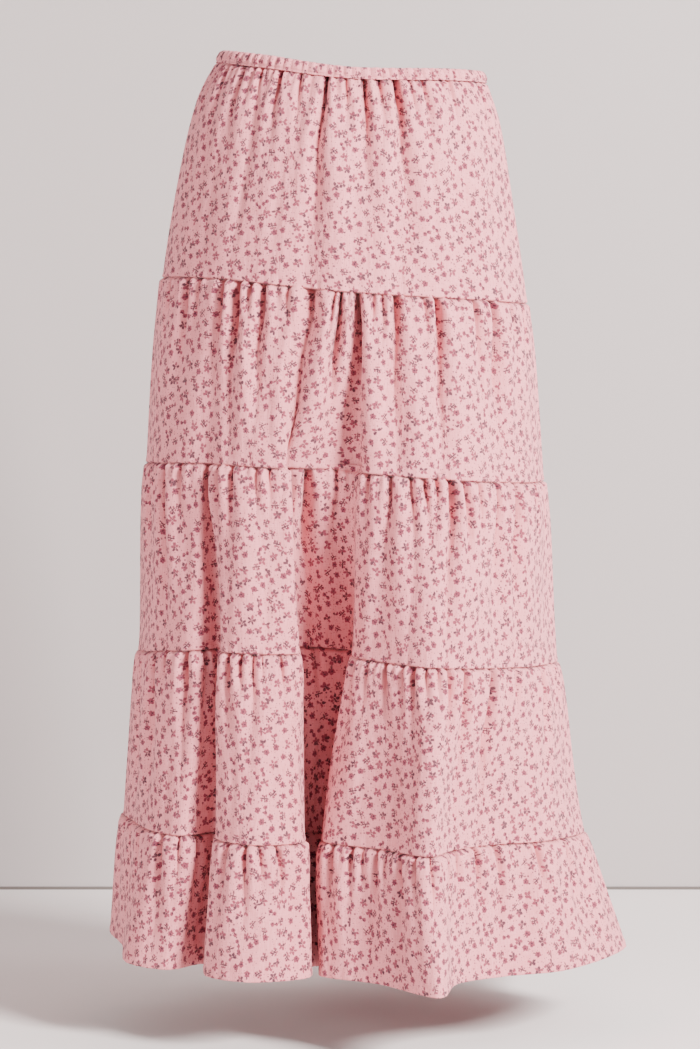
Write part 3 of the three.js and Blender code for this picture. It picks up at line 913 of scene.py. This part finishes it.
seam_shadow_stitches("seam_stitches_three_front", three_front)


# Tier four, a back and a front strip of the printed cloth, wider again and gathered to the foot of
# tier three. It hangs in a left, a middle and a right lobe, and the deep fold lies between the last
# two.
FOUR_BACK_GATHERS = [
    (0.030, 2.4, 0.30, 0), (0.069, 3.5, 0.56, 0), (0.114, 3.7, 0.62, 0), (0.140, 2.2, 0.25, 0),
    (0.172, 4.7, 0.72, 2), (0.198, 3.3, 0.44, 0), (0.279, 3.7, 0.50, 3), (0.297, 2.4, 0.25, 0),
    (0.312, 3.3, 0.43, 0), (0.323, 2.4, 0.25, 0), (0.348, 2.4, 0.25, 0), (0.448, 3.7, 0.50, 0),
    (0.463, 2.6, 0.30, 0), (0.500, 3.3, 0.44, 0), (0.565, 4.7, 0.58, 3), (0.597, 2.4, 0.25, 0),
    (0.630, 3.5, 0.38, 3), (0.657, 2.6, 0.34, 4), (0.672, 3.5, 0.50, 4), (0.689, 2.2, 0.25, 2),
    (0.702, 2.4, 0.22, 0), (0.718, 3.7, 0.53, -3), (0.744, 3.3, 0.50, 0), (0.789, 5.7, 0.87, -4),
    (0.834, 2.6, 0.28, 0), (0.899, 3.3, 0.43, 0), (0.950, 2.4, 0.28, 0),
]
FOUR_FRONT_GATHERS = spread_gathers(18, 1, 27, 3.8, 0.4)
four_back = TierHalf(SEAM_THREE, SEAM_FOUR, "back", 950, 5.0, FOUR_BACK_GATHERS, 17)
four_front = TierHalf(SEAM_THREE, SEAM_FOUR, "front", 760, 5.0, FOUR_FRONT_GATHERS, 18)
tier_piece("tier_four_back", "tier_4_back", four_back)
seam_shadow_stitches("seam_stitches_four_back", four_back)
tier_piece("tier_four_front", "tier_4_front", four_front)
seam_shadow_stitches("seam_stitches_four_front", four_front)


# Tier five, the hem flounce, a back and a front strip of the printed cloth, the widest and the
# shortest, gathered to the foot of tier four. Its lower edge is a narrow turned hem, held by one
# row of stitches.
FIVE_BACK_GATHERS = [
    (0.030, 2.6, 0.40, 0), (0.075, 2.8, 0.40, 0), (0.113, 3.7, 0.56, -3), (0.156, 4.0, 0.62, 2),
    (0.178, 3.3, 0.56, 2), (0.201, 3.5, 0.50, 0), (0.260, 2.4, 0.35, 0), (0.296, 3.3, 0.50, -4),
    (0.319, 3.7, 0.62, 0), (0.336, 2.6, 0.35, 2), (0.356, 3.3, 0.50, 4), (0.400, 2.6, 0.35, 0),
    (0.450, 3.3, 0.50, 0), (0.537, 4.0, 0.69, -2), (0.561, 3.3, 0.50, 0), (0.574, 2.4, 0.35, 0),
    (0.591, 3.3, 0.56, 2), (0.606, 2.2, 0.30, 0), (0.631, 3.5, 0.56, 3), (0.656, 2.4, 0.35, 0),
    (0.676, 3.3, 0.56, 2), (0.711, 3.5, 0.62, 0), (0.740, 2.8, 0.40, 2), (0.770, 3.3, 0.56, 3),
    (0.798, 2.8, 0.45, 4), (0.850, 3.5, 0.62, 6), (0.905, 2.8, 0.45, 5), (0.955, 2.6, 0.40, 3),
]
FIVE_FRONT_GATHERS = spread_gathers(18, 1, 29, 3.4, 0.5)
five_back = TierHalf(SEAM_FOUR, HEM, "back", 1110, 5.0, FIVE_BACK_GATHERS, 19, at_hem=True)
five_front = TierHalf(SEAM_FOUR, HEM, "front", 885, 5.0, FIVE_FRONT_GATHERS, 20, at_hem=True)
tier_piece("tier_five_back", "tier_5_back", five_back)
tier_piece("tier_five_front", "tier_5_front", five_front)

HEM_STITCH_PITCH = 2.9
HEM_STITCH_LIFT = 0.2
for name, half in (("hem_stitches_back", five_back), ("hem_stitches_front", five_front)):
    count = int(half.cut_width / HEM_STITCH_PITCH)
    stitch_starts = (np.arange(count) + (1 - STITCH_SHARE) / 2) / count
    starts = half.points(stitch_starts, [half.length - HEM_STITCH_UP])[0]
    ends = half.points(stitch_starts + STITCH_SHARE / count, [half.length - HEM_STITCH_UP])[0]
    outs = level_outs(ends - starts)
    lift = HEM_STITCH_LIFT * outs
    stitch_row(name, starts + lift, ends + lift, outs, sewing_thread)


# Stage: a plain pale floor under the hanging skirt, a plain pale wall behind it, and a thin dark
# strip where the two meet, a painted shadow of the gap between them.
FLOOR_HEIGHT = -1.007
WALL_BEHIND = 0.81
STAGE_HALF = 6.0
GAP_HEIGHT = 0.0035
GAP_DEPTH = 0.004

bpy.ops.mesh.primitive_plane_add(
    size=2 * STAGE_HALF, location=(0, WALL_BEHIND - STAGE_HALF, FLOOR_HEIGHT)
)
floor = bpy.context.object
floor.name = "floor"
bpy.ops.mesh.primitive_plane_add(
    size=2 * STAGE_HALF, location=(0, WALL_BEHIND, FLOOR_HEIGHT + STAGE_HALF),
    rotation=(math.pi / 2, 0, 0),
)
wall = bpy.context.object
wall.name = "wall"
# The thin dark strip at the wall's foot is painted shadow: it stands for the shade in the gap
# between wall and floor.
bpy.ops.mesh.primitive_cube_add(size=1, location=(0, WALL_BEHIND, FLOOR_HEIGHT))
wall_foot_shadow = bpy.context.object
wall_foot_shadow.name = "wall_foot_shadow"
wall_foot_shadow.scale = (2 * STAGE_HALF, GAP_DEPTH, 2 * GAP_HEIGHT)
bpy.ops.object.transform_apply(location=False, rotation=False, scale=True)


def plain_paint(name, colour):
    """Matt paint with very faint clouds in it."""
    paint = bpy.data.materials.new(name)
    paint.use_nodes = True
    tree = paint.node_tree
    coat = tree.nodes["Principled BSDF"]
    place = add_node(tree, "TexCoord").outputs["Object"]
    mottle = add_node(tree, "TexNoise", {"Vector": place, "Scale": 1.3, "Detail": 2.0})
    shade = add_node(
        tree, "MapRange", {"Value": mottle.outputs["Fac"], "To Min": 0.97, "To Max": 1.03}
    )
    tint = vector_node(tree, "SCALE", colour, Scale=shade.outputs["Result"])
    tree.links.new(tint, coat.inputs["Base Color"])
    coat.inputs["Roughness"].default_value = 0.7
    coat.inputs["Specular IOR Level"].default_value = 0.2
    return paint


floor.data.materials.append(plain_paint("pale_floor", (0.69, 0.62, 0.605)))
wall.data.materials.append(plain_paint("pale_wall", (0.375, 0.328, 0.322)))
# The strip's dark paint is painted shadow.
wall_foot_shadow.data.materials.append(plain_paint("painted_gap_shadow", (0.12, 0.10, 0.092)))

# Studio light: a soft source high on the right, a weaker one on the left, and an even surround.
for name, place, aim, size, watts, tint in (
    ("key", (2.9, -2.9, 1.6), (0, 0, -0.3), 1.2, 870, (1.0, 0.985, 0.97)),
    ("fill", (-3.3, -2.4, 0.0), (0, 0, -0.5), 1.2, 145, (1.0, 0.965, 0.94)),
    ("wall_light", (2.6, -0.4, 1.2), (1.3, 0.8, -0.2), 1.4, 55, (0.9, 0.96, 1.0)),
):
    bpy.ops.object.light_add(type="AREA", location=place)
    light = bpy.context.object
    light.name = name
    light.data.size = size
    light.data.energy = watts
    light.data.color = tint
    way = np.array(aim) - np.array(place)
    light.rotation_euler = (
        math.atan2(math.hypot(way[0], way[1]), -way[2]), 0, math.atan2(way[1], way[0]) - math.pi / 2
    )
world = bpy.data.worlds.new("studio")
bpy.context.scene.world = world
world.use_nodes = True
world.node_tree.nodes["Background"].inputs["Color"].default_value = (1.0, 0.98, 0.98, 1)
world.node_tree.nodes["Background"].inputs["Strength"].default_value = 0.34
